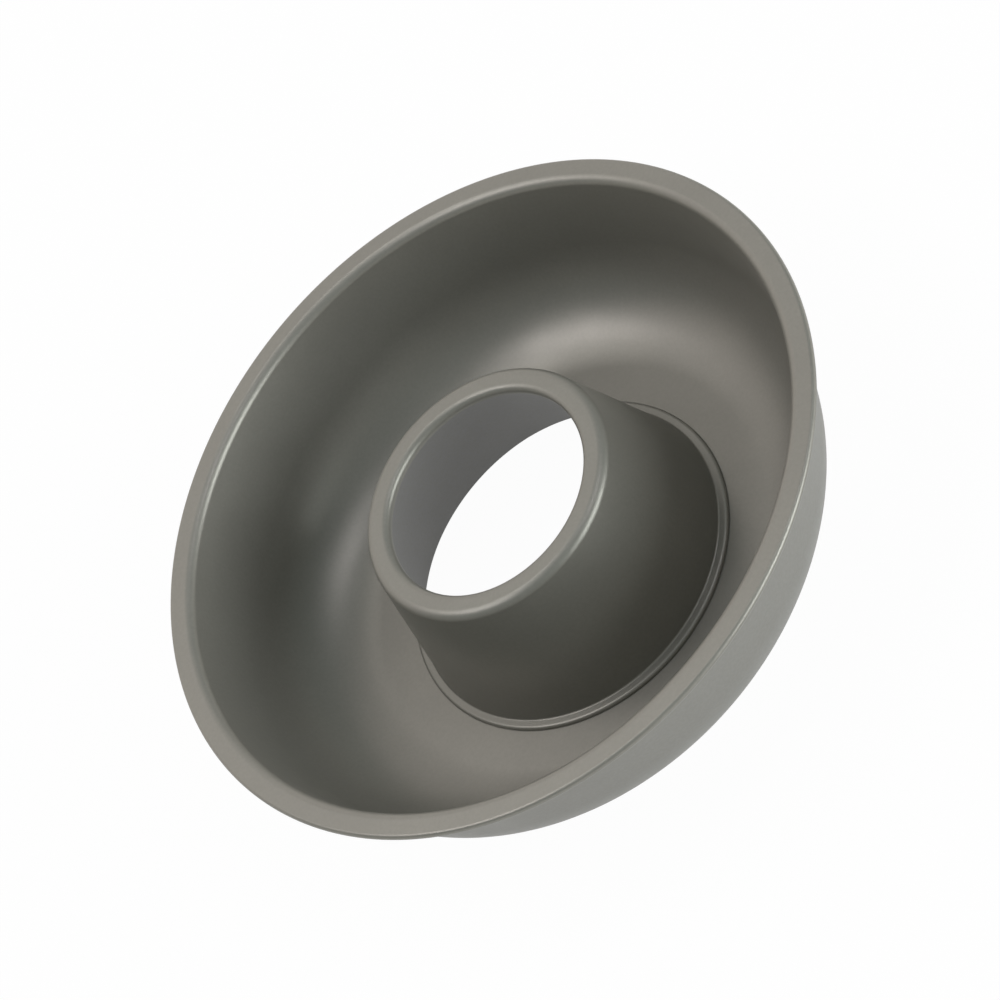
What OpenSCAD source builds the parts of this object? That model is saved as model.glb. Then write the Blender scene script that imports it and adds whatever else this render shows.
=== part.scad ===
// Tube pan for ring-shaped cakes: a spun bowl with a hemmed rim and a crimped-in open cone.
// Millimetres, +Z up. The origin is the middle of the base, at the surface the pan stands on.

/* [Mouth and rim] */
// Clear width across the mouth, between the tops of the walls
mouth_d = 228.6; // [200:0.1:260]
// Overall height, from the base to the top of the rim
pan_h = 60.8; // [56:0.1:75]
// Width of the flat rim, from the mouth to its outer edge
rim_w = 8.8; // [7.5:0.1:14]
// Outside radius of the bend from the wall to the rim
rim_bend_r = 3.4; // [2:0.1:3.8]
// How far the rim's folded-under layer reaches back from the outer edge
rim_hem_w = 5.2; // [3:0.1:5.6]
// Gap between the rim and its folded-under layer
rim_hem_gap = 0.6; // [0.3:0.1:1]

/* [Bowl] */
// Thickness of the bowl's sheet
bowl_t = 1.0; // [0.7:0.05:1.2]
// Lean of the wall from upright, in degrees
wall_draft = 10; // [4:0.5:14]
// Inside radius of the curve from the wall to the floor
corner_r = 34.5; // [26:0.5:40]

/* [Tube] */
// Thickness of the tube's sheet
tube_t = 0.8; // [0.6:0.05:1]
// How far the tube's top lies below the rim
tube_drop = 3.9; // [0:0.1:8]
// Width of the opening in the tube's top
tube_mouth_d = 74.2; // [66:0.1:84]
// Width of the tube's flat top, from its mouth to the outer edge before that is rounded
tube_land_w = 8.6; // [5:0.1:11]
// Outside diameter of the cone where it meets the foot bead
tube_foot_d = 115.9; // [108:0.1:118]
// Outside radius of the tube's outer top edge
tube_edge_r = 3.5; // [1.5:0.1:4]
// Outside radius of the bend into the tube's mouth
tube_lip_r = 2.4; // [1.3:0.1:2.6]
// Depth of the turned-down lip round the tube's mouth
tube_lip_h = 3; // [2.8:0.1:6]

/* [Crimped seam] */
// How far the folded bead, which sits on the floor, stands out from the foot of the cone
bead_w = 3.4; // [2.8:0.1:5]
// How far the bead reaches over the floor, from the edge of the floor's hole
bead_seat_w = 1.2; // [0.9:0.05:1.8]
// How far the flange, pressed flat under the floor, reaches out from the edge of the hole
flange_w = 5.5; // [3.5:0.1:9]
// Outside radius of the bend between the cone and the bead
foot_bend_r = 0.7; // [0.4:0.1:1]
// Clearance between the tube's neck and the edge of the floor's hole
neck_clear = 0.3; // [0.1:0.05:0.5]
// How much the two layers of the bead are pressed into each other
fold_press = 0.05; // [0.02:0.01:0.1]

/* [Colours] */
// Coating on the bowl
bowl_colour = "DimGray"; // [DimGray, Gray, SlateGray]
// Coating on the tube
tube_colour = "Gray"; // [DimGray, Gray, SlateGray]

/* [Hidden] */
$fn = 180;

// Greatest distance between a bend and the short straight steps that draw it
bend_step_error = 0.01;
// Directions in a half section, as angles that turn from outward towards up
up = 90;
inward = 180;
down = 270;
outward = 360;
half_turn = 180;

// Levels
floor_under = tube_t;
floor_top = floor_under + bowl_t;
bead_top = floor_top + 2 * tube_t - fold_press;
tube_top = pan_h - tube_drop;
lip_end = tube_top - tube_lip_h;
hem_top = pan_h - bowl_t - rim_hem_gap;
hem_under = hem_top - bowl_t;

// Bowl: radii, then the centres of its bends and of the rim's round outer edge
mouth_r = mouth_d / 2;
rim_r = mouth_r + rim_w;
hem_inner_r = rim_r - rim_hem_w;
rim_edge_r = bowl_t + rim_hem_gap / 2;
corner_z = floor_top + corner_r;
corner = [wall_r(corner_z) - corner_r / cos(wall_draft), corner_z];
rim_bend_z = pan_h - rim_bend_r;
rim_bend = [wall_r(rim_bend_z) + rim_bend_r / cos(wall_draft), rim_bend_z];
rim_edge = [rim_r - rim_edge_r, pan_h - rim_edge_r];

// Tube: its mouth, its lean, then the centres of its bends from the lip to the foot
tube_mouth_r = tube_mouth_d / 2;
tube_top_r = tube_mouth_r + tube_land_w;
tube_lean = atan((tube_foot_d / 2 - tube_top_r) / (tube_top - bead_top));
lip_bend = [tube_mouth_r + tube_lip_r, tube_top - tube_lip_r];
top_edge_z = tube_top - tube_edge_r;
top_edge = [cone_r(top_edge_z) - tube_edge_r / cos(tube_lean), top_edge_z];
foot_z = bead_top + foot_bend_r;
foot = [cone_r(foot_z) + foot_bend_r / cos(tube_lean), foot_z];

// Seam: the tube's neck passes through the floor's hole and folds outward above and below it
bead_r = tube_foot_d / 2 + bead_w;
hole_r = bead_r - bead_seat_w;
flange_r = hole_r + flange_w;
bead_edge_r = (bead_top - floor_top) / 2;
bead_edge = [bead_r - bead_edge_r, floor_top + bead_edge_r];
neck_high = [hole_r, floor_top - neck_clear];
neck_low = [hole_r, floor_under + neck_clear];
neck_bend_r = neck_clear + tube_t;
fold_crease = inward - asin((neck_bend_r - fold_press) / neck_bend_r);

// Inner face of the bowl's wall and outer face of the cone: the radius at a height
function wall_r(z) = mouth_r - (pan_h - z) * tan(wall_draft);
function cone_r(z) = tube_top_r + (tube_top - z) * tan(tube_lean);

// Points along a bend round a centre, from one direction to another
function bend(centre, r, from, to) =
    let (steps = ceil(abs(to - from) / (2 * acos(1 - bend_step_error / r))))
    [for (i = [0:steps]) around(centre, r, from + (to - from) * i / steps)];
function around(centre, r, a) = centre + r * [cos(a), sin(a)];

// Half section of the bowl: up its inside from the floor's hole, round the rim and back outside
bowl_outline = concat(
    [[hole_r, floor_top]],
    bend(corner, corner_r, down, outward - wall_draft),
    bend(rim_bend, rim_bend_r, inward - wall_draft, up),
    bend(rim_edge, rim_edge_r, up, up - half_turn),
    [[hem_inner_r, hem_under], [hem_inner_r, hem_top]],
    bend(rim_edge, rim_hem_gap / 2, up - half_turn, up),
    bend(rim_bend, rim_bend_r - bowl_t, up, inward - wall_draft),
    bend(corner, corner_r + bowl_t, outward - wall_draft, down),
    [[hole_r, floor_under]]
);

// Half section of the tube: down its outside from the lip to the flange, and back up inside
tube_outline = concat(
    [[tube_mouth_r, lip_end]],
    bend(lip_bend, tube_lip_r, inward, up),
    bend(top_edge, tube_edge_r, up, tube_lean),
    bend(foot, foot_bend_r, inward + tube_lean, down),
    bend(bead_edge, bead_edge_r, up, up - half_turn),
    bend(neck_high, neck_clear, up, inward),
    bend(neck_low, neck_clear, inward, down),
    [[flange_r, floor_under], [flange_r, 0]],
    bend(neck_low, neck_bend_r, down, inward),
    bend(neck_high, neck_bend_r, inward, fold_crease),
    bend(foot, foot_bend_r + tube_t, down, inward + tube_lean),
    bend(top_edge, tube_edge_r - tube_t, tube_lean, up),
    bend(lip_bend, tube_lip_r - tube_t, up, inward),
    [[tube_mouth_r + tube_t, lip_end]]
);

module pan_shell() {
    color(bowl_colour)
        rotate_extrude()
            polygon(bowl_outline);
}

module center_tube() {
    color(tube_colour)
        rotate_extrude()
            polygon(tube_outline);
}

pan_shell();
center_tube();
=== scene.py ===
"""A ring-shaped baking pan.

A pressed bowl with a hemmed rim, and an open tapered tube that is crimped into its floor.
"""

import math

import bmesh
import bpy
from mathutils import Matrix, Vector


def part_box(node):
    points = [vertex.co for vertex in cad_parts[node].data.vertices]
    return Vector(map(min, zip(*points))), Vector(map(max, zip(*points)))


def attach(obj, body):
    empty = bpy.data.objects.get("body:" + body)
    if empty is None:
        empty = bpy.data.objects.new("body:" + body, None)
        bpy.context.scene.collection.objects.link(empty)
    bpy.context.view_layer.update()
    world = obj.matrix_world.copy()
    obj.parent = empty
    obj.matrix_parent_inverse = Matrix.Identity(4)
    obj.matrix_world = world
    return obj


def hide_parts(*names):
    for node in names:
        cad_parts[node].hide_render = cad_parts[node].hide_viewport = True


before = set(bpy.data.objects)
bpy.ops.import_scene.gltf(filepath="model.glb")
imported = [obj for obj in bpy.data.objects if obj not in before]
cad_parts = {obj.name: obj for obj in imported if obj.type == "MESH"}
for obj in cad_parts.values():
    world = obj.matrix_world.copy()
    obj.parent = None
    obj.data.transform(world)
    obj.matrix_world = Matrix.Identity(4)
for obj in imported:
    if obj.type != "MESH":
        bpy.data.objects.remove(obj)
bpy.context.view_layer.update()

# The drawing unit of the sizes below, in metres
MM = 0.001

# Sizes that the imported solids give
rim_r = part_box("pan_shell")[1].x
pan_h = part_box("pan_shell")[1].z
floor_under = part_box("pan_shell")[0].z
flange_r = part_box("center_tube")[1].x
tube_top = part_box("center_tube")[1].z

# The bowl
bowl_t = 1.0 * MM
mouth_r = 114.3 * MM
wall_draft = math.radians(10)
corner_r = 34.5 * MM
rim_bend_r = 3.4 * MM
hem_w = 5.2 * MM
hem_gap = 0.6 * MM
hole_r = 60.15 * MM
floor_top = floor_under + bowl_t

# The tube
tube_t = 0.8 * MM
tube_top_r = 45.7 * MM
tube_foot_r = 57.95 * MM
tube_mouth_r = 37.1 * MM
tube_edge_r = 3.5 * MM
tube_lip_r = 2.4 * MM
tube_lip_h = 3 * MM
foot_bend_r = 0.7 * MM
fold_press = 0.05 * MM
bead_r = 61.35 * MM
bead_upper_bend_r = 1.2 * MM
bead_lower_bend_r = 0.3 * MM
bead_crease_r = 0.2 * MM
neck_clear = 0.3 * MM
bead_top = floor_top + 2 * tube_t - fold_press
cone_slope = (tube_foot_r - tube_top_r) / (tube_top - bead_top)

# The share of its full radius that each of two neighbouring bends has, so that they never meet
HEM_EDGE_SHARE = 0.995
HEM_GAP_SHARE = 0.98
NECK_SHARE = 0.9

# How finely the pieces are turned, and the angle from which an edge shows as sharp
TURN_STEPS = 240
ARC_STEP = math.radians(4)
LEAST_ARC_STEPS = 4
SHARP_ANGLE = math.radians(30)

# The coating on each piece: its colour, its wide darker patches, its fine flecks, and its underside, a
# plainer grey that also carries painted light on the bowl's outside and painted shade inside the tube
BOWL_COLOUR = (0.262, 0.254, 0.224)
BOWL_PATCHES = (0.25, 0.242, 0.214)
BOWL_FLECKS = (0.22, 0.212, 0.188)
# The bowl's underside colour is a plainer grey made lighter than the coating: painted light on the
# outer wall, against the floor's shade
BOWL_UNDER_PAINTED_LIGHT = (0.27, 0.264, 0.243)
TUBE_COLOUR = (0.252, 0.246, 0.217)
TUBE_PATCHES = (0.24, 0.234, 0.206)
TUBE_FLECKS = (0.212, 0.206, 0.182)
# The tube's underside colour is a plainer grey made darker than the coating: painted shade on the
# tube's inside
TUBE_UNDER_PAINTED_SHADE = (0.238, 0.235, 0.229)

# How many patches, flecks, glossier spots and grains there are to the metre, roughly
PATCH_SCALE = 40
FLECK_SCALE = 900
GLOSS_SCALE = 90
GRAIN_SCALE = 1800

# How strong the flecks are at most, and how strong and how deep the grain is
FLECK_STRENGTH = 0.4
GRAIN_STRENGTH = 0.3
GRAIN_DEPTH = 0.02 * MM

# How much of the coating shines as metal flake does, and the limits of its roughness
FLAKE = 0.5
GLOSS_LOW = 0.38
GLOSS_HIGH = 0.42

# The middle part of the noise, where nearly all of its values lie
NOISE_LOW = 0.3
NOISE_HIGH = 0.7

# The upward part of a surface's normal, where its underside starts and where it is in full
UNDERSIDE_START = -0.04
UNDERSIDE_FULL = -0.12

# The floor's own white, how much of the view of it that white is, and how much in reflections
FLOOR_COLOUR = (0.85, 0.85, 0.85)
FLOOR_WHITE = 0.97
FLOOR_SHEEN = 0.61

# How far the floor reaches from its middle, in metres
FLOOR_REACH = 4

# How far the floor lies below the pan, so that the two never share a plane
FLOOR_GAP = 0.02 * MM

# The room round the pan: its light, its light at the horizon, and how high that reaches
ROOM_COLOUR = (0.22, 0.26, 0.255)
HORIZON_COLOUR = (1.05, 0.98, 0.9)
HORIZON_HEIGHT = 0.3

# The point in the pan that the lamps face
LAMP_AIM = Vector((0, 0, 0.03))


def link_object(name, data):
    """A new object in the scene, at the origin, with the given data."""
    added = bpy.data.objects.new(name, data)
    bpy.context.scene.collection.objects.link(added)
    return added


def round_corners(bm, verts, bends):
    """Round each corner of a closed outline to its bend radius; zero leaves it sharp."""
    places = [vert.co.copy() for vert in verts]
    for i, vert in enumerate(verts):
        if bends[i] <= 0:
            continue
        before = places[i - 1] - places[i]
        after = places[(i + 1) % len(places)] - places[i]
        turn = math.pi - before.angle(after)
        bmesh.ops.bevel(
            bm,
            geom=[vert],
            offset=bends[i] * math.tan(turn / 2),
            affect="VERTICES",
            segments=max(LEAST_ARC_STEPS, math.ceil(turn / ARC_STEP)),
            profile=0.5,
            material=-1,
        )


def turned(name, corners):
    """A piece turned round the Z axis from a closed half section.

    Each corner is (radius, height, bend radius).
    """
    bm = bmesh.new()
    verts = [bm.verts.new((r, 0, z)) for r, z, bend in corners]
    bm.faces.new(verts)
    round_corners(bm, verts, [bend for r, z, bend in corners])
    outline = list(bm.edges)
    bmesh.ops.delete(bm, geom=list(bm.faces), context="FACES_ONLY")
    bmesh.ops.spin(
        bm,
        geom=outline,
        cent=(0, 0, 0),
        axis=(0, 0, 1),
        angle=math.tau,
        steps=TURN_STEPS,
        use_merge=True,
    )
    bmesh.ops.recalc_face_normals(bm, faces=list(bm.faces))
    for face in bm.faces:
        face.smooth = True
    for edge in bm.edges:
        edge.smooth = edge.calc_face_angle() < SHARP_ANGLE
    mesh = bpy.data.meshes.new(name)
    bm.to_mesh(mesh)
    bm.free()
    piece = link_object(name, mesh)
    even = piece.modifiers.new("even_shading", "WEIGHTED_NORMAL")
    even.keep_sharp = True
    return piece


def wall_r(z):
    """Radius of the inner face of the bowl's wall at a height."""
    return mouth_r - (pan_h - z) * math.tan(wall_draft)


def cone_r(z):
    """Radius of the outer face of the cone at a height."""
    return tube_top_r + (tube_top - z) * cone_slope


def make_bowl():
    """The bowl, from the edge of its floor's hole, up inside, round the hem and back outside."""
    slip = bowl_t / math.cos(wall_draft)
    hem_r = rim_r - hem_w
    hem_edge_r = bowl_t + hem_gap / 2
    hem_under = pan_h - 2 * hem_edge_r
    edge_bend = hem_edge_r * HEM_EDGE_SHARE
    gap_bend = hem_gap / 2 * HEM_GAP_SHARE
    corners = [
        (hole_r, floor_top, 0),
        (wall_r(floor_top), floor_top, corner_r),
        (wall_r(pan_h), pan_h, rim_bend_r),
        (rim_r, pan_h, edge_bend),
        (rim_r, hem_under, edge_bend),
        (hem_r, hem_under, 0),
        (hem_r, hem_under + bowl_t, 0),
        (rim_r - bowl_t, hem_under + bowl_t, gap_bend),
        (rim_r - bowl_t, pan_h - bowl_t, gap_bend),
        (wall_r(pan_h - bowl_t) + slip, pan_h - bowl_t, rim_bend_r - bowl_t),
        (wall_r(floor_under) + slip, floor_under, corner_r + bowl_t),
        (hole_r, floor_under, 0),
    ]
    return turned("bowl", corners)


def make_tube():
    """The tube, from its lip, down the cone, round the bead and under the floor, and back inside."""
    slip = tube_t / math.cos(math.atan(cone_slope))
    upper_under = bead_top - tube_t
    neck_r = hole_r - neck_clear
    neck_bend = neck_clear * NECK_SHARE
    flange_bend = (neck_clear + tube_t) * NECK_SHARE
    corners = [
        (tube_mouth_r, tube_top - tube_lip_h, 0),
        (tube_mouth_r, tube_top, tube_lip_r),
        (tube_top_r, tube_top, tube_edge_r),
        (tube_foot_r, bead_top, foot_bend_r),
        (bead_r, bead_top, bead_upper_bend_r),
        (bead_r, floor_top, bead_lower_bend_r),
        (neck_r, floor_top, neck_bend),
        (neck_r, floor_under, neck_bend),
        (flange_r, floor_under, 0),
        (flange_r, 0, 0),
        (neck_r - tube_t, 0, flange_bend),
        (neck_r - tube_t, upper_under, bead_crease_r),
        (cone_r(upper_under) - slip, upper_under, 0),
        (cone_r(tube_top - tube_t) - slip, tube_top - tube_t, tube_edge_r - tube_t),
        (tube_mouth_r + tube_t, tube_top - tube_t, tube_lip_r - tube_t),
        (tube_mouth_r + tube_t, tube_top - tube_lip_h, 0),
    ]
    return turned("tube", corners)


def soft_noise_group():
    """A node group that turns a place on a piece into a soft random value between two limits."""
    group = bpy.data.node_groups.new("soft_noise", "ShaderNodeTree")
    sockets = group.interface
    sockets.new_socket("Place", in_out="INPUT", socket_type="NodeSocketVector")
    sockets.new_socket("Scale", in_out="INPUT", socket_type="NodeSocketFloat")
    sockets.new_socket("Low", in_out="INPUT", socket_type="NodeSocketFloat")
    sockets.new_socket("High", in_out="INPUT", socket_type="NodeSocketFloat")
    sockets.new_socket("Value", in_out="OUTPUT", socket_type="NodeSocketFloat")
    start = group.nodes.new("NodeGroupInput")
    end = group.nodes.new("NodeGroupOutput")
    noise = group.nodes.new("ShaderNodeTexNoise")
    noise.inputs["Detail"].default_value = 3
    spread = group.nodes.new("ShaderNodeMapRange")
    spread.inputs["From Min"].default_value = NOISE_LOW
    spread.inputs["From Max"].default_value = NOISE_HIGH
    link = group.links.new
    link(start.outputs["Place"], noise.inputs["Vector"])
    link(start.outputs["Scale"], noise.inputs["Scale"])
    link(noise.outputs["Fac"], spread.inputs["Value"])
    link(start.outputs["Low"], spread.inputs["To Min"])
    link(start.outputs["High"], spread.inputs["To Max"])
    link(spread.outputs["Result"], end.inputs["Value"])
    return group


def place_noise(nodes, link, place, scale, low, high):
    """One use of the soft noise in a material; gives its output socket."""
    noise = nodes.new("ShaderNodeGroup")
    noise.node_tree = soft_noise
    noise.inputs["Scale"].default_value = scale
    noise.inputs["Low"].default_value = low
    noise.inputs["High"].default_value = high
    link(place, noise.inputs["Place"])
    return noise.outputs["Value"]


def underside_group():
    """A node group that gives one where a surface faces downward, and zero elsewhere."""
    group = bpy.data.node_groups.new("underside", "ShaderNodeTree")
    group.interface.new_socket("Normal", in_out="INPUT", socket_type="NodeSocketVector")
    group.interface.new_socket("Value", in_out="OUTPUT", socket_type="NodeSocketFloat")
    start = group.nodes.new("NodeGroupInput")
    end = group.nodes.new("NodeGroupOutput")
    split = group.nodes.new("ShaderNodeSeparateXYZ")
    downward = group.nodes.new("ShaderNodeMapRange")
    downward.inputs["From Min"].default_value = UNDERSIDE_START
    downward.inputs["From Max"].default_value = UNDERSIDE_FULL
    link = group.links.new
    link(start.outputs["Normal"], split.inputs["Vector"])
    link(split.outputs["Z"], downward.inputs["Value"])
    link(downward.outputs["Result"], end.inputs["Value"])
    return group


def place_underside(nodes, link, normal):
    """One use of the underside in a material; gives its output socket."""
    underside = nodes.new("ShaderNodeGroup")
    underside.node_tree = facing_down
    link(normal, underside.inputs["Normal"])
    return underside.outputs["Value"]


def mix_colours(nodes, link, factor, first, second):
    """A mix of two colours by a factor socket; the first is a socket or a plain colour."""
    mix = nodes.new("ShaderNodeMix")
    mix.data_type = "RGBA"
    if isinstance(first, bpy.types.NodeSocket):
        link(first, mix.inputs["A"])
    else:
        mix.inputs["A"].default_value = (*first, 1)
    mix.inputs["B"].default_value = (*second, 1)
    link(factor, mix.inputs["Factor"])
    return mix.outputs["Result"]


def coating(name, colour, patches, flecks, underside_with_painted_light):
    """Sprayed and baked coating with fine metal flake: satin, faintly mottled, with a fine grain, and
    a plainer grey on downward faces whose brightness there is painted light and shade.
    """
    material = bpy.data.materials.new(name)
    material.use_nodes = True
    nodes = material.node_tree.nodes
    link = material.node_tree.links.new
    shader = nodes["Principled BSDF"]
    coordinates = nodes.new("ShaderNodeTexCoord")
    place = coordinates.outputs["Object"]
    shader.inputs["Metallic"].default_value = FLAKE

    patch = place_noise(nodes, link, place, PATCH_SCALE, 0, 1)
    mottled = mix_colours(nodes, link, patch, colour, patches)
    # Downward faces, such as the bowl's outside and the tube's inside, take the underside colour: a
    # plainer grey carrying painted light on the bowl and painted shade in the tube
    underside = place_underside(nodes, link, coordinates.outputs["Normal"])
    two_sided_with_painted_light = mix_colours(nodes, link, underside, mottled, underside_with_painted_light)
    fleck = place_noise(nodes, link, place, FLECK_SCALE, 0, FLECK_STRENGTH)
    flecked = mix_colours(nodes, link, fleck, two_sided_with_painted_light, flecks)
    link(flecked, shader.inputs["Base Color"])

    gloss = place_noise(nodes, link, place, GLOSS_SCALE, GLOSS_LOW, GLOSS_HIGH)
    link(gloss, shader.inputs["Roughness"])

    grain = place_noise(nodes, link, place, GRAIN_SCALE, 0, 1)
    bump = nodes.new("ShaderNodeBump")
    bump.inputs["Strength"].default_value = GRAIN_STRENGTH
    bump.inputs["Distance"].default_value = GRAIN_DEPTH
    link(grain, bump.inputs["Height"])
    link(bump.outputs["Normal"], shader.inputs["Normal"])
    return material


def make_camera():
    """It looks along +Y and down, and is turned about its own line of sight."""
    elevation = math.radians(46.32)
    roll = math.radians(-49.72)
    distance = 1.1688
    aim = Vector((0.0012, 0.0168, 0.030))
    data = bpy.data.cameras.new("camera")
    data.sensor_width = 36
    data.lens = 126
    camera = link_object("camera", data)
    camera.location = aim + distance * Vector((0, -math.cos(elevation), math.sin(elevation)))
    tilt = Matrix.Rotation(math.pi / 2 - elevation, 4, "X")
    camera.rotation_euler = (tilt @ Matrix.Rotation(roll, 4, "Z")).to_euler()
    bpy.context.scene.camera = camera


def calculate(nodes, link, operation, first, second):
    """A calculation with two values, of which the second may be a plain number."""
    step = nodes.new("ShaderNodeMath")
    step.operation = operation
    link(first, step.inputs[0])
    if isinstance(second, bpy.types.NodeSocket):
        link(second, step.inputs[1])
    else:
        step.inputs[1].default_value = second
    return step.outputs["Value"]


def white_floor():
    """White paint that looks white where it is in view, and keeps the pan's shadow."""
    material = bpy.data.materials.new("white_floor")
    material.use_nodes = True
    nodes = material.node_tree.nodes
    link = material.node_tree.links.new
    shader = nodes["Principled BSDF"]
    shader.inputs["Base Color"].default_value = (*FLOOR_COLOUR, 1)
    shader.inputs["Roughness"].default_value = 0.9
    shader.inputs["Specular IOR Level"].default_value = 0
    white = nodes.new("ShaderNodeEmission")
    rays = nodes.new("ShaderNodeLightPath").outputs
    mirrored = calculate(nodes, link, "MAXIMUM", rays["Is Glossy Ray"], rays["Is Transmission Ray"])
    in_mirror = calculate(nodes, link, "MULTIPLY", mirrored, FLOOR_SHEEN)
    in_view = calculate(nodes, link, "MULTIPLY", rays["Is Camera Ray"], FLOOR_WHITE)
    share = calculate(nodes, link, "MAXIMUM", in_mirror, in_view)
    mix = nodes.new("ShaderNodeMixShader")
    link(share, mix.inputs["Fac"])
    link(shader.outputs["BSDF"], mix.inputs[1])
    link(white.outputs["Emission"], mix.inputs[2])
    link(mix.outputs["Shader"], nodes["Material Output"].inputs["Surface"])
    return material


def make_floor():
    """The floor that the pan stands on."""
    bm = bmesh.new()
    below = Matrix.Translation((0, 0, -FLOOR_GAP))
    bmesh.ops.create_grid(bm, x_segments=1, y_segments=1, size=FLOOR_REACH, matrix=below)
    mesh = bpy.data.meshes.new("floor")
    bm.to_mesh(mesh)
    bm.free()
    mesh.materials.append(white_floor())
    floor = link_object("floor", mesh)


def softbox(name, azimuth, elevation, distance, width, height, power, colour):
    """A rectangular lamp that faces the pan, at an angle from +X and at an angle above the floor."""
    data = bpy.data.lights.new(name, "AREA")
    data.shape = "RECTANGLE"
    data.size = width
    data.size_y = height
    data.energy = power
    data.color = colour
    lamp = link_object(name, data)
    around = math.radians(azimuth)
    above = math.radians(elevation)
    reach = math.cos(above)
    towards = Vector((math.cos(around) * reach, math.sin(around) * reach, math.sin(above)))
    lamp.location = LAMP_AIM + distance * towards
    lamp.rotation_euler = towards.to_track_quat("Z", "Y").to_euler()
    lamp.visible_camera = False


def make_world():
    """A pale room, brighter near the horizon, as a white studio is."""
    world = bpy.data.worlds.new("studio")
    world.use_nodes = True
    nodes = world.node_tree.nodes
    link = world.node_tree.links.new
    place = nodes.new("ShaderNodeTexCoord")
    split = nodes.new("ShaderNodeSeparateXYZ")
    fade = nodes.new("ShaderNodeMapRange")
    fade.inputs["From Max"].default_value = HORIZON_HEIGHT
    link(place.outputs["Generated"], split.inputs["Vector"])
    link(split.outputs["Z"], fade.inputs["Value"])
    room = mix_colours(nodes, link, fade.outputs["Result"], HORIZON_COLOUR, ROOM_COLOUR)
    link(room, nodes["Background"].inputs["Color"])
    bpy.context.scene.world = world
    bpy.context.scene.view_settings.view_transform = "Standard"


soft_noise = soft_noise_group()
facing_down = underside_group()
bowl = make_bowl()
bowl.data.materials.append(coating("bowl_coating", BOWL_COLOUR, BOWL_PATCHES, BOWL_FLECKS, BOWL_UNDER_PAINTED_LIGHT))
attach(bowl, "root")
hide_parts("pan_shell")

tube = make_tube()
tube.data.materials.append(coating("tube_coating", TUBE_COLOUR, TUBE_PATCHES, TUBE_FLECKS, TUBE_UNDER_PAINTED_SHADE))
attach(tube, "root")
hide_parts("center_tube")

make_camera()
make_floor()
make_world()

# Each lamp's two angles in degrees, its distance, width and height in metres, its watts and colour
softbox("key", 163, 60, 2, 1.05, 0.45, 9.7, (1, 0.95, 0.98))
softbox("top", 108, 68, 2, 0.6, 0.4, 3.7, (1, 0.96, 0.95))
softbox("side", 308, 15, 2, 1.5, 1.05, 31, (0.94, 0.98, 1))
softbox("fill", 100, 33, 2.2, 4.4, 2.2, 22, (1, 0.88, 0.85))
softbox("back", 349, 65, 2, 0.3, 0.7, 4.2, (0.97, 0.93, 1))
